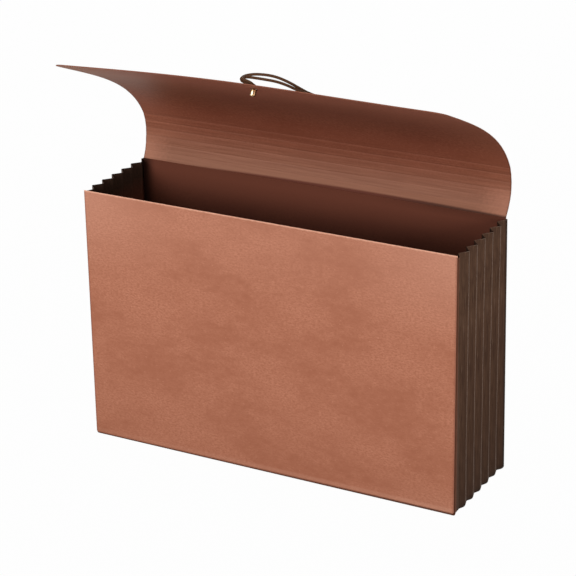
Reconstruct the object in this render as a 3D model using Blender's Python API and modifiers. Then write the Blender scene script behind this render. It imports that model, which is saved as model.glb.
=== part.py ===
"""Expanding file wallet: two panels, a pleated gusset on three sides, a scored flap, a cord loop."""

import math

import bmesh
import bpy
from mathutils import Matrix, Vector

# Panels, in metres. X runs along the width, +Y to the back and +Z up.
WIDTH = 0.381
HEIGHT = 0.252
OPEN_DEPTH = 0.107
PAPER_THICK = 0.0008
FACING_THICK = 0.0004

# Gusset: offsets are measured outwards from the edges of the panels.
PLEATS = 6
GUSSET_THICK = 0.0005
FRONT_RIDGE_PROUD = 0.0015
RIDGE_PROUD = 0.003
VALLEY_INSET = 0.0037
FOOT_DEPTH = 0.0023
BASE_LIFT = 0.0006
GUSSET_DROP = 0.0015
TAB_WIDTH = 0.016

# Flap: headings lean forwards from upright, in degrees, as the sheet stands when it is let go.
FLAP_LENGTH = 0.2248
SCORES = 6
SCORE_PITCH = 0.0077
FOLD_HEADING = -30.5
SCORE_BEND = 9.7
LID_CURL = 43.5
CURL_LENGTH = 0.0505
EDGE_LIFT = 9.0
LIFT_PLACE = -0.040
LIFT_WIDTH = 0.190
LID_TWIST = 3.4
CORNER_RADIUS = 0.012

# Closing cord and its brass crimp.
CORD_DIAMETER = 0.0025
CORD_INSET = 0.018
CORD_ASIDE = 0.006
CORD_HOLE = 0.0062
CRIMP_FLANGE = 0.0068
CRIMP_FLANGE_THICK = 0.0008
CRIMP_BARREL = 0.0058
CRIMP_LENGTH = 0.0066
CRIMP_DOME = 0.0016

# Clearances: between pieces that touch, and between strips that turn about a score.
FIT_GAP = 0.0003
SCORE_GAP = 0.0004
CUTTER_DEPTH = 0.0048
WELD = 0.00001
MM = 0.001

# Fineness of the curved pieces.
LID_COLUMNS = 16
LID_ROWS = 14
CORNER_ROWS = 6
CURL_STEPS = 24
ROUND_SIDES = 24
DOME_STEPS = 4
CORD_STEPS = 2

# Cord route on the flap, in millimetres: along the width from the hole, from the free edge towards the
# fold, and above the outer face. One side of the loop runs out from the crimp and the other runs back.
CORD_ROUTE_OUT = (
    (0.0, 19.5, -0.8),
    (0.0, 19.5, 0.8),
    (-1.3, 19.3, 2.4),
    (-4.8, 19.0, 3.3),
    (-9.8, 19.0, 3.8),
    (-14.2, 19.9, 5.0),
    (-16.5, 22.3, 7.6),
    (-14.4, 25.4, 10.8),
    (-6.8, 27.6, 13.2),
    (4.0, 29.0, 14.0),
    (14.5, 29.7, 13.1),
    (25.6, 31.0, 10.3),
    (34.2, 33.4, 7.2),
    (43.0, 37.0, 4.2),
    (56.0, 41.2, 2.1),
    (80.0, 49.8, 1.6),
    (109.0, 61.5, 1.6),
    (140.0, 74.0, 1.6),
    (152.0, 76.0, 1.6),
)
CORD_ROUTE_BACK = (
    (158.5, 69.5, 1.6),
    (153.0, 62.0, 1.6),
    (138.0, 57.5, 1.6),
    (118.0, 51.5, 1.6),
    (97.0, 45.0, 1.6),
    (76.0, 39.3, 1.6),
    (56.0, 34.8, 1.8),
    (43.0, 32.0, 2.8),
    (34.5, 29.0, 4.9),
    (25.4, 25.8, 7.3),
    (15.6, 24.0, 8.8),
    (5.0, 22.9, 9.2),
    (-4.5, 22.2, 9.3),
    (-9.6, 20.6, 9.0),
    (-12.4, 17.6, 7.8),
    (-11.2, 14.4, 6.2),
    (-7.2, 13.4, 5.0),
    (-3.2, 14.1, 3.9),
    (-0.8, 15.6, 2.4),
    (0.0, 16.5, 0.5),
    (0.0, 16.5, -0.8),
)


def clear_scene():
    for item in list(bpy.data.objects):
        bpy.data.objects.remove(item, do_unlink=True)


def make_collection(name):
    group = bpy.data.collections.new(name)
    bpy.context.scene.collection.children.link(group)
    return group


def make_material(name, colour, roughness, metallic=0.0):
    material = bpy.data.materials.new(name)
    material.use_nodes = True
    shader = material.node_tree.nodes["Principled BSDF"]
    shader.inputs["Base Color"].default_value = (*colour, 1.0)
    shader.inputs["Roughness"].default_value = roughness
    shader.inputs["Metallic"].default_value = metallic
    return material


def add_empty(name, location, parent=None):
    empty = bpy.data.objects.new(name, None)
    empty.location = location
    empty.parent = parent
    PARTS.objects.link(empty)
    return empty


def add_object(name, data, material, location, parent, tilt=0.0):
    """Links a part with its origin at location under parent, tipped forwards by tilt degrees."""
    item = bpy.data.objects.new(name, data)
    data.materials.append(material)
    item.location = location
    item.rotation_euler.x = math.radians(tilt)
    item.parent = parent
    PARTS.objects.link(item)
    return item


def mesh_from(bm, name):
    mesh = bpy.data.meshes.new(name)
    bm.to_mesh(mesh)
    bm.free()
    return mesh


def sheet_mesh(name, size, centre):
    """A flat sheet: a cube scaled to its size, with its middle at centre."""
    bm = bmesh.new()
    bmesh.ops.create_cube(bm, size=1.0, matrix=Matrix.Translation(centre) @ Matrix.Diagonal((*size, 1.0)))
    return mesh_from(bm, name)


# Panels and glued tabs

def build_panel(name, outer_y, inward, height, parent):
    """A panel whose outer face stands at outer_y and whose thickness goes inward, +1 or -1 along Y."""
    centre = (0.0, inward * PAPER_THICK / 2, height / 2)
    mesh = sheet_mesh(name, (WIDTH, PAPER_THICK, height), centre)
    return add_object(name, mesh, TERRACOTTA, (0.0, outer_y, 0.0), parent)


def build_tab(name, outer_y, inward, proud, parent):
    """The gusset's glued end: a flat frame, open at the top, on a panel's inner face, proud of its sides."""
    half = WIDTH / 2 + proud
    top = HEIGHT - GUSSET_DROP
    inner = WIDTH / 2 - TAB_WIDTH
    outline = [
        (-half, top), (-half, BASE_LIFT), (half, BASE_LIFT), (half, top),
        (inner, top), (inner, TAB_WIDTH), (-inner, TAB_WIDTH), (-inner, top),
    ]
    curve = bpy.data.curves.new(name, "CURVE")
    curve.dimensions = "2D"
    curve.fill_mode = "BOTH"
    curve.extrude = GUSSET_THICK / 2
    spline = curve.splines.new("POLY")
    spline.points.add(len(outline) - 1)
    spline.use_cyclic_u = True
    for point, (x, z) in zip(spline.points, outline):
        point.co = (x, z, 0.0, 1.0)
    y = outer_y + inward * (PAPER_THICK + FIT_GAP + GUSSET_THICK / 2)
    tab = add_object(name, curve, DARK_BROWN, (0.0, y, 0.0), parent)
    tab.rotation_euler.x = math.radians(90.0)
    return tab


def build_facing(parent):
    """The inner ply of the back, over the gusset's glued end, so that no tab shows in the pocket."""
    height = HEIGHT - FIT_GAP / 2
    mesh = sheet_mesh("back_facing", (WIDTH, FACING_THICK, height), (0.0, -FACING_THICK / 2, height / 2))
    return add_object("back_facing", mesh, TERRACOTTA, (0.0, OPEN_DEPTH - glued_depth(), 0.0), parent)


# Pleated gusset

def glued_depth():
    """Depth that a panel and the gusset's glued end take up, with their clearances."""
    return PAPER_THICK + GUSSET_THICK + 2 * FIT_GAP


def half_pitch():
    """Distance along Y from a ridge to the next valley: the pleats fill the space between the plies."""
    ends = 2 * glued_depth() + FACING_THICK + FIT_GAP
    return (OPEN_DEPTH - ends) / (2 * PLEATS)


def ridge_proud(ridge):
    """How far a ridge stands out from the panels' side edges: the front panel holds the first one in."""
    return FRONT_RIDGE_PROUD if ridge == 0 else RIDGE_PROUD


def pleat_section(pleat):
    """Front ridge, valley and back ridge of a pleat: Y from its valley, how far it stands out at the top
    and at the foot, and its height over the base. The pleats are shallower at the foot."""
    reach = half_pitch() - FIT_GAP / 2
    front = ridge_proud(pleat - 1)
    back = ridge_proud(pleat)
    return {
        -1: (-reach, front, front, BASE_LIFT),
        0: (0.0, -VALLEY_INSET, RIDGE_PROUD - FOOT_DEPTH, BASE_LIFT + FOOT_DEPTH),
        1: (reach, back, back, BASE_LIFT),
    }


def half_wall(depth):
    """Half of the gusset's thickness, measured straight out where its pleats have this depth."""
    return GUSSET_THICK * math.hypot(half_pitch(), depth) / half_pitch() / 2


def build_pleat(name, pleat, side, parent):
    """One pleat of one wall, side -1 left, 0 base or +1 right: a cube cut across its middle, its corners
    moved to the folds and to the mitre where the side and the base meet."""
    section = pleat_section(pleat)
    top_wall = half_wall(RIDGE_PROUD + VALLEY_INSET)
    foot_wall = half_wall(FOOT_DEPTH)
    top = HEIGHT - GUSSET_DROP
    bm = bmesh.new()
    bmesh.ops.create_cube(bm, size=2.0)
    everything = bm.verts[:] + bm.edges[:] + bm.faces[:]
    bmesh.ops.bisect_plane(bm, geom=everything, plane_co=(0, 0, 0), plane_no=(0, 1, 0))
    places = {vert: tuple(round(value) for value in vert.co) for vert in bm.verts}
    for vert, (face, fold, end) in places.items():
        y, at_top, at_foot, base = section[fold]
        base -= face * foot_wall
        foot = WIDTH / 2 + at_foot + face * foot_wall
        if side == 0:
            vert.co = (end * (foot - FIT_GAP), y, base)
        elif end > 0:
            vert.co = (side * (WIDTH / 2 + at_top + face * top_wall), y, top)
        else:
            vert.co = (side * foot, y, base + FIT_GAP)
    split_leaves(bm, places)
    if side < 0:
        bmesh.ops.reverse_faces(bm, faces=bm.faces)
    return add_object(name, mesh_from(bm, name), DARK_BROWN, (0.0, 0.0, 0.0), parent)


def split_leaves(bm, places):
    """Splits each face from its corner at the valley's top, so that a twisted leaf is flat triangles,
    the same on both of its faces."""
    for quad in bm.faces[:]:
        corners = list(quad.verts)
        start = max(range(4), key=lambda index: pick_order(places[corners[index]]))
        bmesh.utils.face_split(quad, corners[start], corners[start - 2])


def pick_order(place):
    face, fold, end = place
    return (fold == 0, end, face)


def build_gusset(root):
    for pleat in range(1, PLEATS + 1):
        valley = glued_depth() + (2 * pleat - 1) * half_pitch()
        fold = add_empty(f"pleat_{pleat}_valley", (0.0, valley, 0.0), root)
        for word, side in (("left", -1), ("bottom", 0), ("right", 1)):
            build_pleat(f"pleat_{pleat}_{word}", pleat, side, fold)


# Flap

def build_strips(root):
    """The narrow strips between the scores, each hinged on the one before. Returns the last one."""
    parent = root
    location = Vector((0.0, OPEN_DEPTH, HEIGHT))
    tilt = FOLD_HEADING
    middle = -PAPER_THICK / 2
    for strip in range(1, SCORES + 1):
        start = FIT_GAP / 2 if strip == 1 else SCORE_GAP / 2
        length = SCORE_PITCH - start - SCORE_GAP / 2
        name = f"flap_strip_{strip}"
        mesh = sheet_mesh(name, (WIDTH, PAPER_THICK, length), (0.0, middle, start + length / 2))
        parent = add_object(name, mesh, TERRACOTTA, location, parent, tilt)
        location = Vector((0.0, middle, SCORE_PITCH))
        tilt = SCORE_BEND
        middle = 0.0
    return parent


def lid_length():
    return FLAP_LENGTH - SCORES * SCORE_PITCH


def lid_heading(x, distance):
    """Heading of the lid relative to its root, at x along the width and a distance from the last score."""
    curl = 1.0 - math.exp(-distance / CURL_LENGTH)
    bow = math.exp(-((x - LIFT_PLACE) / LIFT_WIDTH) ** 2)
    lift = EDGE_LIFT * bow * (distance / lid_length()) ** 3
    return math.radians(LID_CURL * curl - LID_TWIST * curl * x / WIDTH - lift)


def lid_point(x, distance, height=0.0):
    """A point over the middle of the lid's thickness, in the lid's own frame, and its outward normal."""
    y, z = 0.0, 0.0
    step = distance / CURL_STEPS
    for index in range(CURL_STEPS):
        heading = lid_heading(x, (index + 0.5) * step)
        y -= math.sin(heading) * step
        z += math.cos(heading) * step
    heading = lid_heading(x, distance)
    normal = Vector((0.0, math.cos(heading), math.sin(heading)))
    return Vector((x, y, z)) + normal * height, normal


def lid_rows():
    """Distances of the lid's rows from the last score, and the half width of the lid at each."""
    straight = lid_length() - CORNER_RADIUS
    start = SCORE_GAP / 2
    rows = [(start + (straight - start) * row / LID_ROWS, WIDTH / 2) for row in range(LID_ROWS + 1)]
    for row in range(1, CORNER_ROWS + 1):
        angle = math.radians(90.0) * row / CORNER_ROWS
        drop = CORNER_RADIUS * (1.0 - math.cos(angle))
        rows.append((straight + CORNER_RADIUS * math.sin(angle), WIDTH / 2 - drop))
    return rows


def build_lid(parent):
    """The large curved end of the flap: a grid bent to its curl and thickened, with the cord's hole."""
    rows = lid_rows()
    bm = bmesh.new()
    bmesh.ops.create_grid(bm, x_segments=LID_COLUMNS, y_segments=len(rows) - 1, size=1.0)
    for vert in bm.verts:
        row = round((vert.co.y + 1.0) / 2.0 * (len(rows) - 1))
        distance, half_width = rows[row]
        vert.co = lid_point(vert.co.x * half_width, distance)[0]
    mesh = mesh_from(bm, "flap_lid")
    lid = add_object("flap_lid", mesh, TERRACOTTA, (0.0, 0.0, SCORE_PITCH), parent, SCORE_BEND)
    solid = lid.modifiers.new("thickness", "SOLIDIFY")
    solid.thickness = PAPER_THICK
    solid.offset = 0.0
    hole = lid.modifiers.new("cord_hole", "BOOLEAN")
    hole.object = build_hole_cutter(lid)
    hole.operation = "DIFFERENCE"
    return lid


def hole_frame():
    """Middle of the cord's hole on the lid, and the turn about X that lays +Z on the outward normal."""
    point, normal = lid_point(CORD_ASIDE, lid_length() - CORD_INSET)
    return point, math.atan2(-normal.y, normal.z)


def build_hole_cutter(lid):
    point, turn = hole_frame()
    bm = bmesh.new()
    radius = CORD_HOLE / 2
    bmesh.ops.create_cone(bm, cap_ends=True, segments=ROUND_SIDES, radius1=radius, radius2=radius,
                          depth=CUTTER_DEPTH)
    cutter = bpy.data.objects.new("cord_hole_cutter", mesh_from(bm, "cord_hole_cutter"))
    cutter.location = point
    cutter.rotation_euler.x = turn
    cutter.parent = lid
    cutter.hide_render = True
    cutter.display_type = "WIRE"
    CUTTERS.objects.link(cutter)
    return cutter


# Closing cord

def build_crimp(lid):
    """The brass ferrule on the inner face: a turned flange, barrel and domed end below the cord's hole."""
    point, turn = hole_frame()
    flange = CRIMP_FLANGE / 2
    barrel = CRIMP_BARREL / 2
    profile = [(0.0, 0.0), (flange, 0.0), (flange, -CRIMP_FLANGE_THICK), (barrel, -CRIMP_FLANGE_THICK)]
    for step in range(DOME_STEPS + 1):
        angle = math.radians(90.0) * step / DOME_STEPS
        radius = barrel - CRIMP_DOME * (1.0 - math.cos(angle))
        profile.append((radius, -CRIMP_LENGTH + CRIMP_DOME * (1.0 - math.sin(angle))))
    profile.append((0.0, -CRIMP_LENGTH))
    bm = bmesh.new()
    verts = [bm.verts.new((radius, 0.0, z)) for radius, z in profile]
    for first, second in zip(verts, verts[1:]):
        bm.edges.new((first, second))
    crimp = add_object("cord_crimp", mesh_from(bm, "cord_crimp"), BRASS, point, lid)
    crimp.rotation_euler.x = turn
    crimp.location -= lid_point(CORD_ASIDE, lid_length() - CORD_INSET)[1] * (PAPER_THICK / 2 + FIT_GAP)
    screw = crimp.modifiers.new("turning", "SCREW")
    screw.steps = ROUND_SIDES
    screw.render_steps = ROUND_SIDES
    screw.use_merge_vertices = True
    screw.merge_threshold = WELD
    return crimp


def smooth_route(route):
    """Points on a smooth curve through the route, CORD_STEPS between each two of its own points."""
    points = []
    for index in range(len(route) - 1):
        before = route[max(index - 1, 0)]
        start = route[index]
        end = route[index + 1]
        after = route[min(index + 2, len(route) - 1)]
        slope_in = (end - before) / 2
        slope_out = (after - start) / 2
        for step in range(CORD_STEPS):
            t = step / CORD_STEPS
            points.append(start * (2 * t**3 - 3 * t**2 + 1) + slope_in * (t**3 - 2 * t**2 + t)
                          + end * (3 * t**2 - 2 * t**3) + slope_out * (t**3 - t**2))
    return points + [route[-1]]


def cord_point(x, inset, height):
    """A route point, given in millimetres over the lid's outer face, in the lid's own frame."""
    distance = lid_length() - inset * MM
    return lid_point(CORD_ASIDE + x * MM, distance, PAPER_THICK / 2 + height * MM)[0]


def build_cord(lid):
    points = smooth_route([cord_point(*place) for place in CORD_ROUTE_OUT + CORD_ROUTE_BACK])
    curve = bpy.data.curves.new("cord_loop", "CURVE")
    curve.dimensions = "3D"
    curve.bevel_depth = CORD_DIAMETER / 2
    curve.bevel_resolution = 2
    curve.use_fill_caps = True
    spline = curve.splines.new("POLY")
    spline.points.add(len(points) - 1)
    for point, place in zip(spline.points, points):
        point.co = (*place, 1.0)
    return add_object("cord_loop", curve, ELASTIC, (0.0, 0.0, 0.0), lid)


def stand_on_origin(root, loose):
    """Moves the wallet along Y so that its box, without the loose pieces, is centred over the origin."""
    bpy.context.view_layer.update()
    graph = bpy.context.evaluated_depsgraph_get()
    ys = []
    for item in PARTS.objects:
        if item.type == "EMPTY" or item in loose:
            continue
        shape = item.evaluated_get(graph)
        ys += [(shape.matrix_world @ vert.co).y for vert in shape.to_mesh().vertices]
        shape.to_mesh_clear()
    root.location.y = -(min(ys) + max(ys)) / 2


clear_scene()
PARTS = make_collection("expanding_file_wallet")
CUTTERS = make_collection("cutters")
TERRACOTTA = make_material("terracotta_fibre_paper", (0.45, 0.18, 0.11), 0.75)
DARK_BROWN = make_material("dark_brown_gusset_paper", (0.061, 0.036, 0.023), 0.7)
ELASTIC = make_material("dark_brown_elastic", (0.045, 0.028, 0.020), 0.8)
BRASS = make_material("brass", (0.80, 0.58, 0.27), 0.25, 1.0)

wallet = add_empty("wallet", (0.0, 0.0, 0.0))
front = add_empty("front", (0.0, 0.0, 0.0), wallet)
build_panel("front_panel", 0.0, 1.0, HEIGHT, front)
build_tab("front_tab", 0.0, 1.0, ridge_proud(0), front)
build_panel("back_panel", OPEN_DEPTH, -1.0, HEIGHT - FIT_GAP / 2, wallet)
build_tab("back_tab", OPEN_DEPTH, -1.0, ridge_proud(PLEATS), wallet)
build_facing(wallet)
build_gusset(wallet)
flap_lid = build_lid(build_strips(wallet))
cord_crimp = build_crimp(flap_lid)
cord_loop = build_cord(flap_lid)
stand_on_origin(wallet, (cord_loop, cord_crimp))
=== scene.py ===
"""Looks of the expanding file wallet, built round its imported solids.

Lengths are in metres and angles in degrees, where a name or a comment doesn't say otherwise."""

import math

import bmesh
import bpy
from mathutils import Matrix, Vector, noise


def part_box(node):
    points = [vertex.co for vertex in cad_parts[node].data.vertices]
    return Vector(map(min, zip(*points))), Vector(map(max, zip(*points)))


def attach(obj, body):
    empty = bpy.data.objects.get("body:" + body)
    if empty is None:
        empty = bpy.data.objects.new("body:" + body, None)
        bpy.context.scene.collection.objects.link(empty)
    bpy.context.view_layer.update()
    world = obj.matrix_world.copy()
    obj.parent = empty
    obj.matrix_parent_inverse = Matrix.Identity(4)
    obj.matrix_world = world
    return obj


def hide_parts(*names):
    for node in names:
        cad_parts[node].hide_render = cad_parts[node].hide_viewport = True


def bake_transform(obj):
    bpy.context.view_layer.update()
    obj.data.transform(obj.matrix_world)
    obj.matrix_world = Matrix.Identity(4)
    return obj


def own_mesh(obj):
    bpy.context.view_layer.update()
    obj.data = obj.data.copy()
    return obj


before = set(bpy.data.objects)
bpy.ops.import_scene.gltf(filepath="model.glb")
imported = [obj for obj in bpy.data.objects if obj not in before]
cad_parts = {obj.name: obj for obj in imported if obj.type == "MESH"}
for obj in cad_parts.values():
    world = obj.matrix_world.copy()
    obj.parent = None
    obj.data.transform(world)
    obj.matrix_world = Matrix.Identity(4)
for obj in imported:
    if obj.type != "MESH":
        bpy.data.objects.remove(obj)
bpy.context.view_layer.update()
MM = 0.001

# Places read from the solids: the panels' outer faces, and the valleys of the pleats.
FRONT_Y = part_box("front_panel")[0].y
BACK_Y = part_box("back_panel")[1].y
PLEATS = 6
VALLEYS = [sum(corner.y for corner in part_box(f"pleat_{pleat}_bottom")) / 2 for pleat in range(1, PLEATS + 1)]
HALF_PITCH = (VALLEYS[1] - VALLEYS[0]) / 2

# The photograph's view: a square picture, with its focal length in pixels.
PHOTO_SIDE = 576
FOCAL_PIXELS = 2201.9
SENSOR = 36.0
VIEW_REACH = 20.0
CAMERA_PLACE = (0.90323, FRONT_Y - 1.60920, 0.94953)
CAMERA_AZIMUTH = 28.631
CAMERA_ELEVATION = 22.437
CAMERA_ROLL = -0.958

# Sheet sizes, the same as the solids have.
WIDTH = 0.381
HEIGHT = 0.252
PAPER = 0.0008
FACING = 0.0004
GUSSET = 0.0005
GLUE_GAP = 0.0003
TAB_Y = PAPER + GLUE_GAP + GUSSET / 2
TAB_WIDTH = 0.016
FACING_Y = 0.0019
FRONT_FOOT = 0.0018
FRONT_CORNER = 0.0018

# Fineness of the flat sheets.
SHEET_ROWS = 16
SHEET_COLUMNS = 24
SHEET_CORNER_STEPS = 8

# Pleats: offsets outwards from the panels' edges. The first ridge is held in, most on the left, and the last
# one leans out downwards.
RIDGE_PROUD = 0.003
FIRST_RIDGE_LEFT = 0.0003
FIRST_RIDGE_RIGHT = 0.001
LAST_RIDGE_TOP = 0.0015
LAST_RIDGE_BASE = 0.004
VALLEY_INSET = 0.0037
PLEAT_DEPTH = 0.0067
FOOT_DEPTH = 0.0023
BASE_LIFT = 0.0006
TAB_FOOT = 0.0003
GUSSET_DROP = 0.0015
FOLD_ROUND = 0.09
VALLEY_CORNER = 0.0004
RIDGE_CORNER = 0.0036

# Fineness of the gusset, and the rows of a leaf as shares of its width.
SIDE_ROWS = 28
BASE_COLUMNS = 40
GUSSET_CORNER_STEPS = 8
LEAF_SHARES = (0.0, 0.03, 0.06, 0.09, 0.3, 0.5, 0.7, 0.91, 0.94, 0.97, 1.0)

# Slight waves of the folds: their height, how fast they change downwards, and how far apart the folds, the
# two sides, and ridge and valley lie in the noise.
PLEAT_WAVE = 0.0003
WAVE_RATE = 22.0
FOLDS_APART = 3.1
SIDES_APART = 5.0
VALLEY_SHIFT = 1.7

# Flap: the sheet leans by its heading, and each score bends it forwards.
FLAP_LENGTH = 0.2248
SCORES = 6
SCORE_PITCH = 0.0077
FOLD_HEADING = -30.5
SCORE_BEND = 9.7
LID_CURL = 43.5
CURL_LENGTH = 0.0505
EDGE_LIFT = 9.0
LIFT_PLACE = -0.040
LIFT_WIDTH = 0.190
LID_TWIST = 3.4
CORNER_RADIUS = 0.012
FOLD_SKEW = 0.0023
SKEW_LENGTH = 0.020
BEND_HALF = 0.0011
GROOVE_DEPTH = 0.0001
GROOVE_HALF = 0.00045
CREASE_REACH = 0.0025
CREASE_PLACE = 0.05
CREASE_HALF = 0.17

# Fineness of the flap and the back: the sheet is followed in small steps from just below the fold.
SHEET_START = -0.004
SHEET_STEP = 0.0002
COLUMNS = 48
BACK_TOP = -0.005
BACK_ROWS = 12
LID_ROWS = 40
LID_CORNER_STEPS = 10
# Rows of points through a fold or a score, in millimetres from it.
FOLD_ROWS = (-1.6, -1.2, -0.9, -0.7, -0.5, -0.35, -0.2, -0.1, 0.0,
             0.1, 0.2, 0.35, 0.5, 0.7, 0.9, 1.2, 1.6)

# Cord and crimp, with the pitch of the cover's yarns along the cord and their number each way round it.
CORD_DIAMETER = 0.0025
CORD_INSET = 0.018
CORD_ASIDE = 0.006
CORD_HOLE = 0.0062
HOLE_SIDES = 32
CORD_SIDES = 16
CORD_STEPS = 10
YARN_PITCH = 0.0009
YARNS_EACH_WAY = 4
CRIMP_GAP = 0.0003
CRIMP_SIDES = 48

# Cord route on the flap, in millimetres: along the width from the hole, from the free edge towards the fold,
# and above the outer face. It leaves the crimp, runs out behind the flap and comes back.
CORD_ROUTE = (
    (0.0, 19.5, -0.8), (0.0, 19.5, 0.8), (-1.3, 19.3, 2.4), (-4.8, 19.0, 3.3), (-9.8, 19.0, 3.8),
    (-14.2, 19.9, 5.0), (-16.5, 22.3, 7.6), (-14.4, 25.4, 10.8), (-6.8, 27.6, 13.2), (4.0, 29.0, 14.0),
    (14.5, 29.7, 13.1), (25.6, 31.0, 10.3), (34.2, 33.4, 7.2), (43.0, 37.0, 4.2), (56.0, 41.2, 2.1),
    (80.0, 49.8, 1.6), (109.0, 61.5, 1.6), (140.0, 74.0, 1.6), (152.0, 76.0, 1.6), (158.5, 69.5, 1.6),
    (153.0, 62.0, 1.6), (138.0, 57.5, 1.6), (118.0, 51.5, 1.6), (97.0, 45.0, 1.6), (76.0, 39.3, 1.6),
    (56.0, 34.8, 1.8), (43.0, 32.0, 2.8), (34.5, 29.0, 4.9), (25.4, 25.8, 7.3), (15.6, 24.0, 8.8),
    (5.0, 22.9, 9.2), (-4.5, 22.2, 9.3), (-9.6, 20.6, 9.0), (-12.4, 17.6, 7.8), (-11.2, 14.4, 6.2),
    (-7.2, 13.4, 5.0), (-3.2, 14.1, 3.9), (-0.8, 15.6, 2.4), (0.0, 16.5, 0.5), (0.0, 16.5, -0.8),
)

# Crimp: radius and depth below the flap's inner face, in millimetres.
CRIMP_PROFILE = (
    (0.0, 0.0), (3.1, 0.0), (3.25, 0.06), (3.3, 0.2), (3.3, 0.36), (3.24, 0.5), (3.08, 0.58), (2.8, 0.66),
    (2.6, 0.85), (2.55, 1.2), (2.55, 2.0), (2.55, 5.0), (2.52, 5.4), (2.4, 5.75), (2.2, 6.02), (1.9, 6.2),
    (1.6, 6.3), (1.2, 6.33), (0.9, 6.28), (0.7, 6.15), (0.55, 6.05), (0.0, 6.0),
)

# Edges that bend by more than these angles are shaded sharp.
SHARP_PAPER = 38.0
SHARP_CORD = 60.0
SHARP_BRASS = 50.0

# Studio: the light that comes from all round, how white the floor is shown, and the softboxes, each with its
# place, the point it faces, its width and height, and its power in watts.
AMBIENT = 0.12
FLOOR_WHITE = 0.985
FLOOR_HALF = 6.0
SOFTBOXES = (
    ("key", (-0.5, -1.28, 0.84), (0.0, 0.0, 0.18), (1.1, 0.7), 18.0),
    ("fill_right", (1.9, -0.9, 0.6), (0.1, 0.0, 0.18), (1.2, 0.7), 30.0),
    ("fill_back", (-0.9, 1.7, 0.8), (0.0, 0.0, 0.2), (1.2, 0.8), 26.0),
)


# Materials

def linear(hex_colour):
    """An sRGB hex colour as linear RGBA."""
    channels = [int(hex_colour[place:place + 2], 16) / 255 for place in (1, 3, 5)]
    return (*[c / 12.92 if c <= 0.04045 else ((c + 0.055) / 1.055) ** 2.4 for c in channels], 1.0)


def per_size(millimetres):
    """Scale of a pattern whose features have this size, on coordinates in metres."""
    return 1.0 / (millimetres * MM)


def add_node(tree, kind, inputs=None, **settings):
    """Adds a node, sets its properties, and sets or links its inputs by name or number."""
    made = tree.nodes.new(kind)
    for name, value in settings.items():
        setattr(made, name, value)
    for key, value in (inputs or {}).items():
        if isinstance(value, bpy.types.NodeSocket):
            tree.links.new(value, made.inputs[key])
        else:
            made.inputs[key].default_value = value
    return made


def new_material(name, **values):
    """A named material, its tree and its shader, with the values that are the same all over."""
    material = bpy.data.materials.new(name)
    material.use_nodes = True
    tree = material.node_tree
    shader = tree.nodes["Principled BSDF"]
    for key, value in values.items():
        shader.inputs[key.replace("_", " ").title().replace("Ior", "IOR")].default_value = value
    return material, tree, shader


def toned(tree, colour, tone, value, start, end, most=1.0, least=0.0, soft=False):
    """Turns a colour to a tone as a value goes from start to end, by a share from least to most. A colour is
    a socket or a hex value, and most may be a socket, so that the share differs from place to place."""
    share = add_node(tree, "ShaderNodeMapRange", {"Value": value, "From Min": start, "From Max": end,
                                                  "To Min": least, "To Max": most},
                     interpolation_type="SMOOTHSTEP" if soft else "LINEAR")
    first, second = (linear(shade) if isinstance(shade, str) else shade for shade in (colour, tone))
    mixed = add_node(tree, "ShaderNodeMix", {0: share.outputs["Result"], 6: first, 7: second},
                     data_type="RGBA")
    return mixed.outputs[2]


def wear_and_light_band(tree, place, axis, at, width, colour, band_colour, most):
    """A band beyond a line of the sheet, for wear and for painted light and shade: the colour turns to the
    band colour, unevenly, over a width.
    """
    parts = add_node(tree, "ShaderNodeSeparateXYZ", {0: place})
    distance = add_node(tree, "ShaderNodeMath", {0: parts.outputs[axis]}, operation="ABSOLUTE")
    uneven = add_node(tree, "ShaderNodeTexNoise", {"Vector": place, "Scale": per_size(3), "Detail": 3.0})
    ragged = add_node(tree, "ShaderNodeMath", {0: uneven.outputs["Fac"], 1: width, 2: distance.outputs[0]},
                      operation="MULTIPLY_ADD")
    return toned(tree, colour, band_colour, ragged.outputs[0], at - width / 2, at + width / 2, most)


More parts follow.
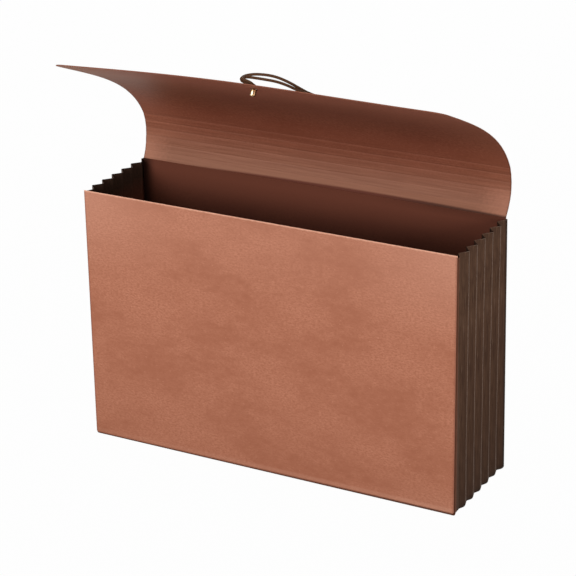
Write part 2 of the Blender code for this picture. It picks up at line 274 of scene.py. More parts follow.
def fibre_paper(name, dark, light, fleck, roughness, gloss=0.22, stretch=0.55):
    """Fibre paper, pressed and dyed through: matt, with uneven dye and matted fibres that lie mostly along
    the sheet. Returns the material, its tree, its shader, the place on the sheet and the colour so far."""
    material, tree, shader = new_material(name, ior=1.45, specular_ior_level=gloss)
    place = add_node(tree, "ShaderNodeUVMap", uv_map="sheet").outputs["UV"]
    lying = add_node(tree, "ShaderNodeMapping", {"Vector": place, "Scale": (stretch, 1.0, 1.0)})
    along = lying.outputs["Vector"]
    clouds = add_node(tree, "ShaderNodeTexNoise", {"Vector": along, "Scale": per_size(6), "Detail": 5.0,
                                                   "Roughness": 0.7}).outputs["Fac"]
    # The dye settles in wide paler and darker patches, about 60 mm across.
    patches = add_node(tree, "ShaderNodeTexNoise", {"Vector": along, "Scale": per_size(60), "Detail": 4.0,
                                                    "Roughness": 0.6}).outputs["Fac"]
    # Fibres are about 0.1 mm thick; their mats are drawn at 1.5 mm so that they show.
    fibres = add_node(tree, "ShaderNodeTexNoise", {"Vector": along, "Scale": per_size(1.5), "Detail": 4.0,
                                                   "Roughness": 0.75}).outputs["Fac"]
    specks = add_node(tree, "ShaderNodeTexNoise", {"Vector": along, "Scale": per_size(1.6),
                                                   "Detail": 2.0}).outputs["Fac"]
    colour = toned(tree, dark, light, clouds, 0.27, 0.73)
    colour = toned(tree, colour, light, patches, 0.42, 0.62, most=0.9)
    colour = toned(tree, colour, dark, patches, 0.5, 0.36, most=0.4)
    colour = toned(tree, colour, dark, fibres, 0.395, 0.65)
    colour = toned(tree, colour, fleck, specks, 0.62, 0.8, most=0.4)
    rough = add_node(tree, "ShaderNodeMapRange", {"Value": fibres, "To Min": roughness - 0.08,
                                                  "To Max": roughness + 0.08})
    tree.links.new(rough.outputs["Result"], shader.inputs["Roughness"])
    bump = add_node(tree, "ShaderNodeBump", {"Height": fibres, "Strength": 0.35, "Distance": 0.1 * MM})
    tree.links.new(bump.outputs["Normal"], shader.inputs["Normal"])
    return material, tree, shader, place, colour


def terracotta_paper():
    """Outer faces: painted light makes them paler towards the top and its corners, and painted shade darker
    towards the foot, with a painted shadow at the foot itself; paler along the top edge, rubbed and a painted
    highlight, and darker at the sides.
    """
    material, tree, shader, place, colour = fibre_paper(
        "terracotta_fibre_paper", "#9E6047", "#BC7D63", "#D3997F", roughness=0.66)
    parts = add_node(tree, "ShaderNodeSeparateXYZ", {0: place})
    x, y = parts.outputs["X"], parts.outputs["Y"]
    # Painted light: paler towards the top, most at the two corners, and painted shade: darker towards the
    # foot.
    aside = add_node(tree, "ShaderNodeMath", {0: x}, operation="ABSOLUTE")
    corner = add_node(tree, "ShaderNodeMapRange", {"Value": aside.outputs[0], "From Min": 0.09,
                                                   "From Max": 0.19, "To Min": 0.16, "To Max": 0.42})
    colour = toned(tree, colour, "#CB937C", y, 0.15, 0.26, most=corner.outputs["Result"], soft=True)
    colour = toned(tree, colour, "#8A5139", y, 0.1, 0.0, most=0.16, soft=True)
    # The lower right corner is rubbed paler.
    right = add_node(tree, "ShaderNodeMapRange", {"Value": x, "From Min": 0.1, "From Max": 0.19,
                                                  "To Max": 0.2})
    colour = toned(tree, colour, "#C28C74", y, 0.028, 0.0, most=right.outputs["Result"])
    # A pale line is rubbed above the foot, and a painted shadow darkens the foot itself, both more to the
    # right.
    for at, reach, tone, most in ((0.005, 0.003, "#CB947C", 0.3), (FRONT_FOOT, 0.0016, "#4A291E", 0.85)):
        above = add_node(tree, "ShaderNodeMath", {0: y, 1: at}, operation="SUBTRACT")
        away = add_node(tree, "ShaderNodeMath", {0: above.outputs[0]}, operation="ABSOLUTE")
        rightward_share = add_node(tree, "ShaderNodeMapRange", {"Value": x, "From Min": -0.15, "From Max": 0.15,
                                                     "To Min": 0.35 * most, "To Max": most})
        colour = toned(tree, colour, tone, away.outputs[0], reach, reach / 3, most=rightward_share.outputs["Result"])
    # Darker along the two sides; paler along the top edge, rubbed and a painted highlight.
    colour = wear_and_light_band(tree, place, "X", WIDTH / 2, 0.0018, colour, "#7A4938", most=0.6)
    colour = wear_and_light_band(tree, place, "Y", HEIGHT, 0.0015, colour, "#EDB398", most=0.85)
    tree.links.new(colour, shader.inputs["Base Color"])
    return material


def terracotta_flap_lining():
    """The flap's inner face: a darker copy of the terracotta, as painted shade; paler at the fold, rubbed and
    a painted sheen; streaked round the scores; and deeper red beyond them.
    """
    material, tree, shader, place, colour = fibre_paper(
        "terracotta_flap_lining", "#733E2D", "#864E3B", "#9A624E", roughness=0.55, gloss=0.1)
    parts = add_node(tree, "ShaderNodeSeparateXYZ", {0: place})
    x, y = parts.outputs["X"], parts.outputs["Y"]
    # Painted light: paler towards both ends of the flap.
    colour = wear_and_light_band(tree, place, "X", 0.178, 0.06, colour, "#A8694F", most=0.22)
    # Above the last score the bent paper keeps more of its red.
    red = add_node(tree, "ShaderNodeMapRange", {"Value": y, "From Min": 0.105, "From Max": 0.065,
                                                "To Max": 0.12}, interpolation_type="SMOOTHSTEP")
    colour = toned(tree, colour, "#9A5038", y, 0.042, 0.054, most=red.outputs["Result"])
    # Paler towards the fold: partly rubbed, partly a painted sheen.
    colour = toned(tree, colour, "#8B5F4B", y, 0.047, -0.002, soft=True)
    # Pressing the scores has drawn the fibres out along them, in streaks about 2 mm wide. The strip next to
    # the fold is rubbed even.
    drawn = add_node(tree, "ShaderNodeMapping", {"Vector": place, "Scale": (0.03, 1.0, 1.0)})
    streaks = add_node(tree, "ShaderNodeTexNoise", {"Vector": drawn.outputs["Vector"], "Scale": per_size(2),
                                                    "Detail": 3.0, "Roughness": 0.65})
    even = add_node(tree, "ShaderNodeMapRange", {"Value": y, "From Min": 0.004, "From Max": 0.013,
                                                 "To Min": 0.189, "To Max": 0.42})
    pressed = add_node(tree, "ShaderNodeMapRange", {"Value": y, "From Min": 0.066, "From Max": 0.036,
                                                    "To Max": even.outputs["Result"]},
                       interpolation_type="SMOOTHSTEP")
    colour = toned(tree, colour, "#603626", streaks.outputs["Fac"], 0.38, 0.66,
                   most=pressed.outputs["Result"])
    # Painted light makes its two sides palest next to the fold, and painted shade darkens it at the cut.
    band_colour = wear_and_light_band(tree, place, "X", 0.187, 0.026, colour, "#BC8068", most=0.37)
    colour = toned(tree, colour, band_colour, y, 0.032, 0.014, soft=True)
    colour = wear_and_light_band(tree, place, "X", WIDTH / 2, 0.0014, colour, "#4A2A20", most=0.5)
    # The free edge is paler, partly rubbed and partly painted light, and warmer at its left end, as a painted
    # sheen.
    tone = toned(tree, "#B4705A", "#C07C55", x, -0.07, -0.17)
    colour = wear_and_light_band(tree, place, "Y", FLAP_LENGTH - 0.04, 0.12, colour, tone, most=0.56)
    # Each score has a painted dark line of shade, with a painted highlight on the side of the fold.
    step = add_node(tree, "ShaderNodeMath", {0: y, 1: SCORE_PITCH}, operation="FLOORED_MODULO")
    for edge, width, tone, most in ((0.0, 0.0012, "#4E2A20", 0.12), (SCORE_PITCH, -0.0022, "#AE7E6A", 0.1)):
        scored = add_node(tree, "ShaderNodeMapRange", {"Value": y, "From Min": (SCORES + 0.6) * SCORE_PITCH,
                                                       "From Max": (SCORES + 0.2) * SCORE_PITCH,
                                                       "To Max": most})
        colour = toned(tree, colour, tone, step.outputs[0], edge + width, edge, most=scored.outputs["Result"])
    # Painted shade along the crease at the fold, widest to the right of the middle and darkest at the right
    # end.
    offset = add_node(tree, "ShaderNodeMath", {0: x, 1: CREASE_PLACE}, operation="SUBTRACT")
    square = add_node(tree, "ShaderNodeMath", {0: offset.outputs[0], 1: offset.outputs[0]},
                      operation="MULTIPLY")
    reach = add_node(tree, "ShaderNodeMath", {0: square.outputs[0], 1: -CREASE_REACH / CREASE_HALF ** 2,
                                              2: CREASE_REACH}, operation="MULTIPLY_ADD")
    inside = add_node(tree, "ShaderNodeMath", {0: reach.outputs[0], 1: y}, operation="SUBTRACT")
    tone = toned(tree, "#471509", "#2C0D06", x, 0.06, 0.13)
    colour = toned(tree, colour, tone, inside.outputs[0], -0.0008, 0.0016, most=0.84, soft=True)
    tree.links.new(colour, shader.inputs["Base Color"])
    return material


def terracotta_facing():
    """The pocket's lining: painted dark as shade in its upper part, less so towards the mouth, and darkest
    in a painted band of shade next to the fold."""
    material, tree, shader, place, colour = fibre_paper(
        "terracotta_pocket_facing", "#3A1C13", "#462418", "#552E20", roughness=0.72, gloss=0.1)
    parts = add_node(tree, "ShaderNodeSeparateXYZ", {0: place})
    x, y = parts.outputs["X"], parts.outputs["Y"]
    # Further down, below the painted shade, it has the paper's own terracotta.
    colour = toned(tree, colour, "#A9694F", y, HEIGHT - 0.065, HEIGHT - 0.13, most=0.9)
    # Painted light towards the mouth, and painted shade in a band next to the fold, more to the right.
    colour = toned(tree, colour, "#623628", y, HEIGHT - 0.05, HEIGHT, soft=True)
    right = add_node(tree, "ShaderNodeMapRange", {"Value": x, "From Min": 0.06, "From Max": 0.13,
                                                  "To Min": 0.13, "To Max": 0.4})
    colour = toned(tree, colour, "#2A1109", y, HEIGHT - 0.008, HEIGHT - 0.001, most=right.outputs["Result"])
    # Painted shade in the left corner, where the gusset begins.
    colour = toned(tree, colour, "#150905", x, 0.014 - WIDTH / 2, 0.002 - WIDTH / 2, most=0.85, soft=True)
    tree.links.new(colour, shader.inputs["Base Color"])
    return material


def gusset_inner():
    """The gusset paper's inner face, painted near black as shade."""
    material, tree, shader, _, colour = fibre_paper(
        "gusset_inside_painted_shade", "#21150F", "#2E1E16", "#3B281E", roughness=0.8, gloss=0.04)
    # Deeper in, it turns redder.
    spot = add_node(tree, "ShaderNodeTexCoord").outputs["Object"]
    parts = add_node(tree, "ShaderNodeSeparateXYZ", {0: spot})
    colour = toned(tree, colour, "#54291C", parts.outputs["Z"], HEIGHT - 0.015, HEIGHT - 0.045, most=0.6)
    tree.links.new(colour, shader.inputs["Base Color"])
    return material


def gusset_paper():
    """Thin tough paper, dyed dark brown. Its ridges are rubbed paler, and painted shade darkens it towards its
    foot.
    """
    material, tree, shader, place, colour = fibre_paper(
        "dark_brown_gusset_paper", "#39261C", "#624736", "#8C7260", roughness=0.72, gloss=0.09, stretch=0.06)
    spot = add_node(tree, "ShaderNodeTexCoord").outputs["Object"]
    parts = add_node(tree, "ShaderNodeSeparateXYZ", {0: spot})
    x, y, z = (parts.outputs[axis] for axis in ("X", "Y", "Z"))
    # The right side has been rubbed most.
    ridges = wear_and_light_band(tree, place, "Y", math.hypot(HALF_PITCH, PLEAT_DEPTH), 0.0009, colour, "#8C776A",
                    most=0.75)
    colour = toned(tree, colour, ridges, x, -0.1, 0.1, least=0.15)
    # Painted shade: darker towards the foot, and a painted contact shadow at the foot itself.
    colour = toned(tree, colour, "#21130A", z, 0.14, 0.0, most=0.4, soft=True)
    colour = toned(tree, colour, "#1A110B", z, 0.01, 0.0, most=0.8, soft=True)
    # The first fold turns reddish brown next to the front sheet.
    crest = VALLEYS[0] - HALF_PITCH
    colour = toned(tree, colour, "#663E2E", y, crest + 0.003, crest + 0.0005, most=0.7)
    # Painted shade on the last fold.
    crest = VALLEYS[-1] + HALF_PITCH
    colour = toned(tree, colour, "#1E140F", y, crest - 0.0022, crest - 0.0006, most=0.8)
    tree.links.new(colour, shader.inputs["Base Color"])
    return material


def cut_edge(name, dark, light, band_colour=None, right_of=0.0, start=0.0, end=1.0):
    """The guillotined edge of fibre paper, with the plies showing as fine mottling. It turns to the band
    colour to the right of a place along the sheet, from one line across the sheet to another."""
    material, tree, shader = new_material(name, ior=1.45, roughness=0.8, specular_ior_level=0.08)
    place = add_node(tree, "ShaderNodeTexCoord").outputs["Object"]
    plies = add_node(tree, "ShaderNodeTexNoise", {"Vector": place, "Scale": per_size(0.5),
                                                  "Detail": 3.0}).outputs["Fac"]
    colour = toned(tree, dark, light, plies, 0.0, 1.0)
    if band_colour:
        sheet = add_node(tree, "ShaderNodeUVMap", uv_map="sheet").outputs["UV"]
        parts = add_node(tree, "ShaderNodeSeparateXYZ", {0: sheet})
        right = add_node(tree, "ShaderNodeMath", {0: parts.outputs["X"], 1: right_of},
                         operation="GREATER_THAN")
        colour = toned(tree, colour, band_colour, parts.outputs["Y"], start, end, most=right.outputs[0])
    tree.links.new(colour, shader.inputs["Base Color"])
    bump = add_node(tree, "ShaderNodeBump", {"Height": plies, "Strength": 0.5, "Distance": 0.1 * MM})
    tree.links.new(bump.outputs["Normal"], shader.inputs["Normal"])
    return material


def braided_elastic():
    """Rubber core in a braided cover: matt dark yarns that cross as small diamonds."""
    material, tree, shader = new_material("braided_elastic", ior=1.5, roughness=0.75, specular_ior_level=0.12)
    place = add_node(tree, "ShaderNodeUVMap", uv_map="sheet").outputs["UV"]
    parts = add_node(tree, "ShaderNodeSeparateXYZ", {0: place})
    along = add_node(tree, "ShaderNodeMath", {0: parts.outputs["X"], 1: 2 * math.pi / YARN_PITCH},
                     operation="MULTIPLY")
    around = add_node(tree, "ShaderNodeMath", {0: parts.outputs["Y"], 1: 2 * math.pi * YARNS_EACH_WAY},
                      operation="MULTIPLY")
    waves = []
    for way in ("ADD", "SUBTRACT"):
        slant = add_node(tree, "ShaderNodeMath", {0: along.outputs[0], 1: around.outputs[0]}, operation=way)
        waves.append(add_node(tree, "ShaderNodeMath", {0: slant.outputs[0]}, operation="SINE"))
    yarn = add_node(tree, "ShaderNodeMath", {0: waves[0].outputs[0], 1: waves[1].outputs[0]},
                    operation="MULTIPLY")
    proud = add_node(tree, "ShaderNodeMapRange", {"Value": yarn.outputs[0], "From Min": -1.0})
    height = proud.outputs["Result"]
    colour = toned(tree, "#3A2316", "#61412A", height, 0.0, 1.0)
    tree.links.new(colour, shader.inputs["Base Color"])
    bump = add_node(tree, "ShaderNodeBump", {"Height": height, "Strength": 0.6, "Distance": 0.12 * MM})
    tree.links.new(bump.outputs["Normal"], shader.inputs["Normal"])
    return material


def turned_brass(middle, normal):
    """Brass, drawn and polished, with painted shade and dark reflections in brown next to the flap and on its
    right side.
    """
    material, tree, shader = new_material("polished_brass", metallic=1.0)
    place = add_node(tree, "ShaderNodeTexCoord").outputs["Object"]
    haze = add_node(tree, "ShaderNodeTexNoise", {"Vector": place, "Scale": per_size(1.2),
                                                 "Detail": 3.0}).outputs["Fac"]
    colour = toned(tree, "#C9AE7A", "#E9D8B0", haze, 0.0, 1.0)
    offset = add_node(tree, "ShaderNodeVectorMath", {0: place, 1: middle}, operation="SUBTRACT")
    depth = add_node(tree, "ShaderNodeVectorMath", {0: offset.outputs[0], 1: normal}, operation="DOT_PRODUCT")
    parts = add_node(tree, "ShaderNodeSeparateXYZ", {0: offset.outputs[0]})
    # Painted shade and reflection: brown next to the flap and on the right side.
    colour = toned(tree, colour, "#5B3720", depth.outputs["Value"], -0.0034, -0.002, most=0.9)
    colour = toned(tree, colour, "#5B3720", parts.outputs["X"], 0.0001, 0.0011, most=0.9)
    tree.links.new(colour, shader.inputs["Base Color"])
    rough = add_node(tree, "ShaderNodeMapRange", {"Value": haze, "To Min": 0.16, "To Max": 0.34})
    tree.links.new(rough.outputs["Result"], shader.inputs["Roughness"])
    return material


# Mesh helpers

def sheet_piece(name, rows, uvs, thickness, materials):
    """A sheet through a grid of points, given its thickness about them. The first material is for its inner
    face, the second for its edges, and a third for its outer face, where that is not the same."""
    bm = bmesh.new()
    layer = bm.loops.layers.uv.new("sheet")
    grid = [[bm.verts.new(point) for point in row] for row in rows]
    for i in range(len(grid) - 1):
        for j in range(len(grid[0]) - 1):
            places = ((i, j), (i, j + 1), (i + 1, j + 1), (i + 1, j))
            face = bm.faces.new([grid[a][b] for a, b in places])
            for loop, (a, b) in zip(face.loops, places):
                loop[layer].uv = uvs[a][b]
    piece = mesh_piece(name, bm, materials)
    solid = piece.modifiers.new("thickness", "SOLIDIFY")
    solid.thickness = thickness
    solid.offset = 0.0
    solid.material_offset_rim = 1
    solid.material_offset = len(materials) - 1 if len(materials) > 2 else 0
    apply_modifiers(piece)
    return piece


def mesh_piece(name, bm, materials):
    """A named object of the scene with the mesh and its materials."""
    mesh = bpy.data.meshes.new(name)
    bm.to_mesh(mesh)
    bm.free()
    for material in materials:
        mesh.materials.append(material)
    piece = bpy.data.objects.new(name, mesh)
    bpy.context.scene.collection.objects.link(piece)
    return piece


def apply_modifiers(piece):
    """Gives the piece the shape that its modifiers make, and smooths it."""
    bpy.context.view_layer.update()
    graph = bpy.context.evaluated_depsgraph_get()
    mesh = bpy.data.meshes.new_from_object(piece.evaluated_get(graph))
    piece.modifiers.clear()
    piece.data = mesh
    smooth(piece)


def smooth(piece, angle=SHARP_PAPER):
    """Smooth shading, broken at edges sharper than the angle."""
    piece.data.shade_smooth()
    piece.data.set_sharp_from_angle(angle=math.radians(angle))


def spread(start, end, count):
    """Values from start to end in even steps, both ends included."""
    return [start + (end - start) * step / count for step in range(count + 1)]


def ease(value):
    """A share from 0 to 1 that starts and ends gently."""
    value = min(1.0, max(0.0, value))
    return value * value * (3.0 - 2.0 * value)


# Flap and back: one sheet, followed from the back panel over the fold and the scores to the free edge

def sheet_heading(x, s):
    """Lean of the sheet from upright, in radians, at x along the width and s past the fold."""
    heading = FOLD_HEADING * ease((s + BEND_HALF) / (2 * BEND_HALF))
    for score in range(1, SCORES + 1):
        heading += SCORE_BEND * ease((s - score * SCORE_PITCH + BEND_HALF) / (2 * BEND_HALF))
    distance = s - SCORES * SCORE_PITCH
    if distance > 0.0:
        curl = 1.0 - math.exp(-distance / CURL_LENGTH)
        bow = math.exp(-((x - LIFT_PLACE) / LIFT_WIDTH) ** 2)
        lift = EDGE_LIFT * bow * (distance / (FLAP_LENGTH - SCORES * SCORE_PITCH)) ** 3
        heading += LID_CURL * curl - LID_TWIST * curl * x / WIDTH - lift
    return math.radians(heading)


def groove(s):
    """How far the scores press the sheet towards its outer face."""
    return GROOVE_DEPTH * sum(math.exp(-((s - score * SCORE_PITCH) / GROOVE_HALF) ** 2)
                              for score in range(1, SCORES + 1))


def sheet_line(x, stations):
    """Points on the middle of the sheet, and its outward normals, at rising stations along it."""
    places = []
    s, y, z = SHEET_START, BACK_Y - PAPER / 2, HEIGHT + SHEET_START
    for station in stations:
        if station <= SHEET_START:
            places.append((Vector((x, y, HEIGHT + station)), Vector((0.0, 1.0, 0.0))))
            continue
        count = max(1, math.ceil((station - s) / SHEET_STEP))
        step = (station - s) / count
        for index in range(count):
            heading = sheet_heading(x, s + (index + 0.5) * step)
            y -= math.sin(heading) * step
            z += math.cos(heading) * step
        s = station
        heading = sheet_heading(x, s)
        normal = Vector((0.0, math.cos(heading), math.sin(heading)))
        skew = FOLD_SKEW * (2.0 * x / WIDTH) * min(1.0, max(0.0, s / SKEW_LENGTH))
        places.append((Vector((x, y + skew, z)) + normal * groove(s), normal))
    return places


def near_fold(s):
    """Stations through one fold or score."""
    return [s + offset * MM for offset in FOLD_ROWS]


def flap_piece(name, stations, half_widths=None):
    """Part of the back-and-flap sheet between two stations. half_widths gives the rounded corners."""
    half_widths = half_widths or [WIDTH / 2] * len(stations)
    rows = [[None] * (COLUMNS + 1) for _ in stations]
    uvs = [[None] * (COLUMNS + 1) for _ in stations]
    for column in range(COLUMNS + 1):
        share = 2.0 * column / COLUMNS - 1.0
        whole = sheet_line(share * WIDTH / 2, stations)
        for row, s in enumerate(stations):
            x = share * half_widths[row]
            if half_widths[row] < WIDTH / 2:
                rows[row][column] = sheet_line(x, [s])[0][0]
            else:
                rows[row][column] = whole[row][0]
            uvs[row][column] = (x, s)
    return sheet_piece(name, rows, uvs, PAPER, (FLAP_LINING, FLAP_EDGE, TERRACOTTA))


def blend_at(piece, s):
    """Finds where the fold or score at s begins and ends, and bakes the piece's place into its mesh."""
    (start, _), (end, _) = sheet_line(0.0, [s - BEND_HALF, s + BEND_HALF])
    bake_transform(piece)


def build_back_and_flap():
    """The back panel and the flap, parted halfway between scores, so that each piece has one bend."""
    halfway = SCORE_PITCH / 2
    panel = flap_piece("back_sheet", spread(-HEIGHT, BACK_TOP, BACK_ROWS) + near_fold(0.0) + [halfway])
    blend_at(panel, 0.0)
    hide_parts("back_panel", "flap_strip_1")
    for score in range(1, SCORES):
        s = score * SCORE_PITCH
        piece = flap_piece(f"flap_score_{score}", [s - halfway] + near_fold(s) + [s + halfway])
        blend_at(piece, s)
        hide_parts(f"flap_strip_{score + 1}")
    s = SCORES * SCORE_PITCH
    straight = FLAP_LENGTH - CORNER_RADIUS
    stations = [s - halfway] + near_fold(s) + spread(s + halfway, straight, LID_ROWS)
    half_widths = [WIDTH / 2] * len(stations)
    for step in range(1, LID_CORNER_STEPS + 1):
        angle = math.radians(90.0 * step / LID_CORNER_STEPS)
        stations.append(straight + CORNER_RADIUS * math.sin(angle))
        half_widths.append(WIDTH / 2 - CORNER_RADIUS * (1.0 - math.cos(angle)))
    lid = flap_piece("flap_lid_sheet", stations, half_widths)
    cut_cord_hole(lid)
    blend_at(lid, s)
    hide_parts("flap_lid")


def hole_frame():
    """Where the cord's hole is: its middle, with +Z along the outward normal."""
    point, normal = sheet_line(CORD_ASIDE, [FLAP_LENGTH - CORD_INSET])[0]
    across = Vector((1.0, 0.0, 0.0))
    return Matrix.Translation(point) @ Matrix((across, normal.cross(across), normal)).transposed().to_4x4()


def cut_cord_hole(lid):
    """Cuts the cord's hole through the lid."""
    bm = bmesh.new()
    bmesh.ops.create_cone(bm, cap_ends=True, segments=HOLE_SIDES, radius1=CORD_HOLE / 2,
                          radius2=CORD_HOLE / 2, depth=6 * PAPER, matrix=hole_frame())
    cutter = mesh_piece("cord_hole_cutter", bm, (FLAP_LINING, FLAP_EDGE))
    for face in cutter.data.polygons:
        face.material_index = 1
    hole = lid.modifiers.new("cord_hole", "BOOLEAN")
    hole.object = cutter
    hole.operation = "DIFFERENCE"
    apply_modifiers(lid)
    bpy.data.objects.remove(cutter, do_unlink=True)


# Flat sheets

def flat_sheet(name, y, thickness, foot, top, corner, materials):
    """An upright sheet whose middle stands at y, with its lower corners rounded."""
    levels = [(foot + corner * (1.0 - math.cos(angle)), corner * (1.0 - math.sin(angle)))
              for angle in spread(0.0, math.radians(90.0), SHEET_CORNER_STEPS)]
    levels += [(z, 0.0) for z in spread(foot + corner, top, SHEET_ROWS)[1:]]
    grid = [[Vector((share * (WIDTH / 2 - inset), y, z)) for share in spread(-1.0, 1.0, SHEET_COLUMNS)]
            for z, inset in levels]
    uvs = [[(point.x, point.z) for point in row] for row in grid]
    piece = sheet_piece(name, grid, uvs, thickness, materials)
    return piece


def build_panels():
    """The front sheet, and the facing inside the back."""
    front = flat_sheet("front_sheet", FRONT_Y + PAPER / 2, PAPER, FRONT_FOOT, HEIGHT, FRONT_CORNER,
                       (TERRACOTTA, TERRACOTTA_EDGE))
    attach(front, "front")
    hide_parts("front_panel")
    facing = flat_sheet("back_facing_sheet", BACK_Y - FACING_Y - FACING / 2, FACING, 0.0, HEIGHT - FACING,
                        FACING, (FACING_PAPER, FLAP_EDGE))
    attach(facing, "back")
    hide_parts("back_facing")


# Gusset

def ridge_side(ridge, z, side):
    """How far a ridge stands out from the panels' edges at height z, on one side. All but two have waves."""
    if ridge == 0:
        return FIRST_RIDGE_RIGHT if side > 0 else FIRST_RIDGE_LEFT
    if ridge == PLEATS:
        return LAST_RIDGE_BASE + (LAST_RIDGE_TOP - LAST_RIDGE_BASE) * z / HEIGHT
    spot = Vector((FOLDS_APART * ridge, WAVE_RATE * z, SIDES_APART * side))
    return RIDGE_PROUD + PLEAT_WAVE * noise.noise(spot)


def valley_side(pleat, z, side):
    """The same for a valley. The pleats are shallower at the foot, where the base holds them open."""
    foot = RIDGE_PROUD - FOOT_DEPTH
    spot = Vector((FOLDS_APART * pleat + VALLEY_SHIFT, WAVE_RATE * z, SIDES_APART * side))
    return foot - (foot + VALLEY_INSET) * z / HEIGHT + PLEAT_WAVE * noise.noise(spot)


def rise(share):
    """Height of a leaf from its valley, 0, to its ridge, 1, with both folds rounded."""
    if share < FOLD_ROUND:
        height = share * share / (2 * FOLD_ROUND)
    elif share > 1.0 - FOLD_ROUND:
        height = 1.0 - FOLD_ROUND - (1.0 - share) ** 2 / (2 * FOLD_ROUND)
    else:
        height = share - FOLD_ROUND / 2
    return height / (1.0 - FOLD_ROUND)


def u_path(side_at, base, corner):
    """Points down the left side, along the base and up the right side. side_at gives a side's offset."""
    top = HEIGHT - GUSSET_DROP
    points = []
    left = [(-(WIDTH / 2 + side_at(z, -1)), z) for z in spread(top, base + corner, SIDE_ROWS)]
    points += left
    x, z = left[-1]
    for step in range(1, GUSSET_CORNER_STEPS):
        angle = math.radians(90.0 * step / GUSSET_CORNER_STEPS)
        points.append((x + corner * (1.0 - math.cos(angle)), z - corner * math.sin(angle)))
    right = [(WIDTH / 2 + side_at(z, 1), z) for z in spread(base + corner, top, SIDE_ROWS)]
    x_right, z = right[0]
    points += [(along, base) for along in spread(x + corner, x_right - corner, BASE_COLUMNS)]
    for step in range(GUSSET_CORNER_STEPS - 1, 0, -1):
        angle = math.radians(90.0 * step / GUSSET_CORNER_STEPS)
        points.append((x_right - corner * (1.0 - math.cos(angle)), z - corner * math.sin(angle)))
    return points + right


def u_sheet(name, lines, thickness):
    """A sheet round the wallet's three closed sides, through lines along it. Each line has its y, the offset
    of its sides, its base, its corner radius and its distance across the sheet."""
    rows, uvs = [], []
    for y, side_at, base, corner, across in lines:
        path = u_path(side_at, base, corner)
        rows.append([Vector((x, y, z)) for x, z in path])
        run = [0.0]
        for first, second in zip(path, path[1:]):
            run.append(run[-1] + math.dist(first, second))
        uvs.append([(along, across) for along in run])
    piece = sheet_piece(name, rows, uvs, thickness, (GUSSET_INNER, GUSSET_EDGE, GUSSET_PAPER))
    return piece


def leaf_lines(pleat, way):
    """Lines of one leaf of a pleat, from its valley to its front or back ridge, way -1 or +1."""
    ridge = pleat if way > 0 else pleat - 1
    slope = math.hypot(HALF_PITCH, PLEAT_DEPTH) / HALF_PITCH
    lines = []
    for share in LEAF_SHARES:
        height = rise(share)

        def side_at(z, side, height=height):
            low = valley_side(pleat, z, side)
            return low + (ridge_side(ridge, z, side) - low) * height

        base = BASE_LIFT + FOOT_DEPTH * (1.0 - height)
        corner = VALLEY_CORNER + (RIDGE_CORNER - VALLEY_CORNER) * height
        y = VALLEYS[pleat - 1] + way * HALF_PITCH * share
        lines.append((y, side_at, base, corner, way * share * HALF_PITCH * slope))
    return lines


def build_gusset():
    """The pleats, each on a body of its own, and the two glued tabs."""
    for pleat in range(1, PLEATS + 1):
        lines = leaf_lines(pleat, -1)[:0:-1] + leaf_lines(pleat, 1)
        piece = u_sheet(f"gusset_pleat_{pleat}", lines, GUSSET)
        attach(piece, f"pleat_{pleat}")
        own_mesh(piece)
        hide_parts(*[f"pleat_{pleat}_{word}" for word in ("left", "bottom", "right")])
    for body, ridge, y in (("front", 0, FRONT_Y + TAB_Y), ("back", PLEATS, BACK_Y - TAB_Y)):

        def edge(z, side, ridge=ridge):
            return ridge_side(ridge, z, side)

        crest = VALLEYS[0] - HALF_PITCH if ridge == 0 else VALLEYS[-1] + HALF_PITCH
        corner = FRONT_CORNER if body == "front" else RIDGE_CORNER
        lines = [(crest, edge, BASE_LIFT, corner, 0.0), (y, edge, TAB_FOOT, corner, abs(y - crest)),
                 (y, lambda z, side: -TAB_WIDTH, TAB_WIDTH, VALLEY_CORNER, TAB_WIDTH / 2)]
        if body == "front":
            lines.reverse()
        tab = u_sheet(f"{body}_tab_strip", lines, GUSSET)
        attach(tab, body)
        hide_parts(f"{body}_tab")


# Cord and crimp

def cord_points():
    """Points on a smooth curve through the route, on the flap's outer face."""
    route = []
    for x, inset, height in CORD_ROUTE:
        point, normal = sheet_line(CORD_ASIDE + x * MM, [FLAP_LENGTH - inset * MM])[0]
        route.append(point + normal * (PAPER / 2 + height * MM))
    points = []
    for index in range(len(route) - 1):
        before = route[max(index - 1, 0)]
        start = route[index]
        end = route[index + 1]
        after = route[min(index + 2, len(route) - 1)]
        leave = (end - before) / 2
        arrive = (after - start) / 2
        for step in range(CORD_STEPS):
            t = step / CORD_STEPS
            points.append(start * (2 * t**3 - 3 * t**2 + 1) + leave * (t**3 - 2 * t**2 + t)
                          + end * (3 * t**2 - 2 * t**3) + arrive * (t**3 - t**2))
    return points + [route[-1]]


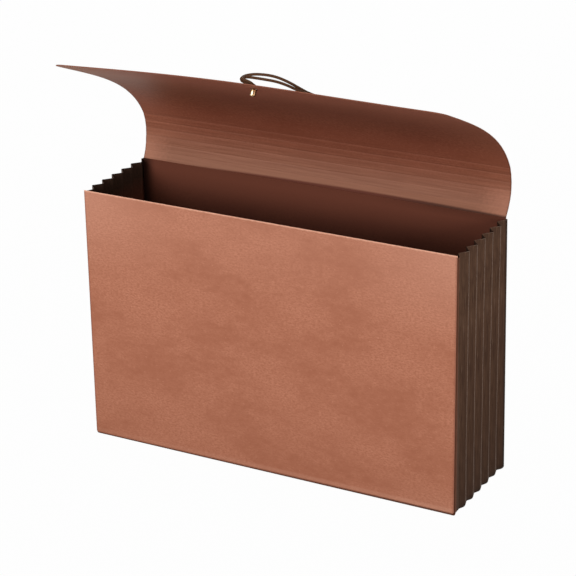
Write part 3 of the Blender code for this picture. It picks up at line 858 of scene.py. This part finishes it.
def build_cord():
    """The cord, a tube along its route, and the points of that route."""
    points = cord_points()
    bm = bmesh.new()
    layer = bm.loops.layers.uv.new("sheet")
    rings, runs = [], [0.0]
    tangent = (points[1] - points[0]).normalized()
    across = tangent.orthogonal().normalized()
    for index, point in enumerate(points):
        before, after = points[max(index - 1, 0)], points[min(index + 1, len(points) - 1)]
        turned = (after - before).normalized()
        across = (tangent.rotation_difference(turned) @ across).normalized()
        tangent = turned
        up = tangent.cross(across)
        ring = []
        for side in range(CORD_SIDES):
            angle = 2 * math.pi * side / CORD_SIDES
            out = across * math.cos(angle) + up * math.sin(angle)
            ring.append(bm.verts.new(point + out * CORD_DIAMETER / 2))
        rings.append(ring)
        if index:
            runs.append(runs[-1] + (point - points[index - 1]).length)
    for index in range(len(rings) - 1):
        for side in range(CORD_SIDES):
            beside = (side + 1) % CORD_SIDES
            face = bm.faces.new((rings[index][side], rings[index][beside],
                                 rings[index + 1][beside], rings[index + 1][side]))
            shares = ((index, side), (index, side + 1), (index + 1, side + 1), (index + 1, side))
            for loop, (a, b) in zip(face.loops, shares):
                loop[layer].uv = (runs[a], b / CORD_SIDES)
    bm.faces.new(list(reversed(rings[0])))
    bm.faces.new(rings[-1])
    cord = mesh_piece("elastic_cord", bm, (ELASTIC,))
    smooth(cord, SHARP_CORD)
    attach(cord, "lid")
    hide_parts("cord_loop")
    return cord, points


def build_crimp():
    """The brass ferrule that holds both ends of the cord, on the flap's inner face."""
    bm = bmesh.new()
    verts = [bm.verts.new((radius * MM, 0.0, -depth * MM)) for radius, depth in CRIMP_PROFILE]
    for first, second in zip(verts, verts[1:]):
        bm.edges.new((first, second))
    bmesh.ops.spin(bm, geom=bm.verts[:] + bm.edges[:], cent=(0, 0, 0), axis=(0, 0, 1), angle=2 * math.pi,
                   steps=CRIMP_SIDES)
    bmesh.ops.remove_doubles(bm, verts=bm.verts, dist=0.005 * MM)
    bmesh.ops.recalc_face_normals(bm, faces=bm.faces)
    place = hole_frame()
    bm.transform(place @ Matrix.Translation((0.0, 0.0, -PAPER / 2 - CRIMP_GAP)))
    crimp = mesh_piece("brass_crimp", bm, (turned_brass(place.translation, place.col[2].to_3d()),))
    smooth(crimp, SHARP_BRASS)
    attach(crimp, "lid")
    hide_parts("cord_crimp")
    return crimp


# Stage

def build_camera():
    """The photograph's camera, turned about its line of sight by the roll."""
    azimuth, elevation, roll = (math.radians(a) for a in (CAMERA_AZIMUTH, CAMERA_ELEVATION, CAMERA_ROLL))
    back = Vector((math.sin(azimuth) * math.cos(elevation), -math.cos(azimuth) * math.cos(elevation),
                   math.sin(elevation)))
    right = Vector((math.cos(azimuth), math.sin(azimuth), 0.0))
    up = back.cross(right)
    turned = right * math.cos(roll) + up * math.sin(roll)
    upright = up * math.cos(roll) - right * math.sin(roll)
    data = bpy.data.cameras.new("photo_view")
    data.sensor_width = SENSOR
    data.lens = SENSOR * FOCAL_PIXELS / PHOTO_SIDE
    data.clip_end = VIEW_REACH
    camera = bpy.data.objects.new("photo_view", data)
    facing = Matrix((turned, upright, back)).transposed().to_4x4()
    camera.matrix_world = Matrix.Translation(CAMERA_PLACE) @ facing
    bpy.context.scene.collection.objects.link(camera)
    bpy.context.scene.camera = camera


def add_softbox(name, place, target, size, power):
    """A rectangular light that faces its target."""
    data = bpy.data.lights.new(name, "AREA")
    data.shape = "RECTANGLE"
    data.size, data.size_y = size
    data.energy = power
    lamp = bpy.data.objects.new(name, data)
    lamp.location = place
    lamp.rotation_euler = (Vector(target) - Vector(place)).to_track_quat("-Z", "Y").to_euler()
    bpy.context.scene.collection.objects.link(lamp)


def seen_directly(tree):
    """1 on camera, glossy and transmission rays, which are shown the white background."""
    path = add_node(tree, "ShaderNodeLightPath")
    first = add_node(tree, "ShaderNodeMath", {0: path.outputs["Is Camera Ray"],
                                              1: path.outputs["Is Glossy Ray"]}, operation="MAXIMUM")
    both = add_node(tree, "ShaderNodeMath", {0: first.outputs[0], 1: path.outputs["Is Transmission Ray"]},
                    operation="MAXIMUM")
    return both.outputs[0]


def build_stage():
    """White all round, with a floor that sends light back as grey paper does but is seen as almost white."""
    world = bpy.data.worlds.new("studio")
    world.use_nodes = True
    tree = world.node_tree
    background = tree.nodes["Background"]
    background.inputs["Color"].default_value = linear("#FFFFFF")
    strength = add_node(tree, "ShaderNodeMapRange", {"Value": seen_directly(tree), "To Min": AMBIENT,
                                                     "To Max": 1.0})
    tree.links.new(strength.outputs["Result"], background.inputs["Strength"])
    bpy.context.scene.world = world
    bm = bmesh.new()
    bmesh.ops.create_grid(bm, x_segments=2, y_segments=2, size=FLOOR_HALF)
    paper, tree, shader = new_material("white_paper_sweep", base_color=linear("#757575"), roughness=0.9)
    glow = add_node(tree, "ShaderNodeEmission", {"Color": linear("#FFFFFF"), "Strength": 1.0})
    share = add_node(tree, "ShaderNodeMath", {0: seen_directly(tree), 1: FLOOR_WHITE}, operation="MULTIPLY")
    both = add_node(tree, "ShaderNodeMixShader", {0: share.outputs[0], 1: shader.outputs[0],
                                                   2: glow.outputs[0]})
    tree.links.new(both.outputs[0], tree.nodes["Material Output"].inputs["Surface"])
    floor = mesh_piece("floor", bm, (paper,))


TERRACOTTA = terracotta_paper()
# The front's cut edge is pale along its top, rubbed and a painted highlight, and darker at its sides and foot,
# as painted shade.
TERRACOTTA_EDGE = cut_edge("terracotta_cut_edge", "#8A5846", "#A86F5A", "#ECB092", -WIDTH, HEIGHT - 0.002,
                           HEIGHT - 0.001)
FLAP_LINING = terracotta_flap_lining()
# The flap's cut edge is darker than the front's, as painted shade.
FLAP_EDGE = cut_edge("terracotta_flap_edge", "#714334", "#945F4C")
FACING_PAPER = terracotta_facing()
GUSSET_PAPER = gusset_paper()
GUSSET_INNER = gusset_inner()
GUSSET_EDGE = cut_edge("gusset_cut_edge", "#2E2019", "#4A372C", "#A08D7E", WIDTH, 0.0, HALF_PITCH)
ELASTIC = braided_elastic()

build_camera()
cord_piece, cord_line = build_cord()
crimp_piece = build_crimp()
build_back_and_flap()
build_panels()
build_gusset()
build_stage()
for softbox in SOFTBOXES:
    add_softbox(*softbox)

bpy.context.scene.view_settings.view_transform = "Standard"
bpy.context.view_layer.update()
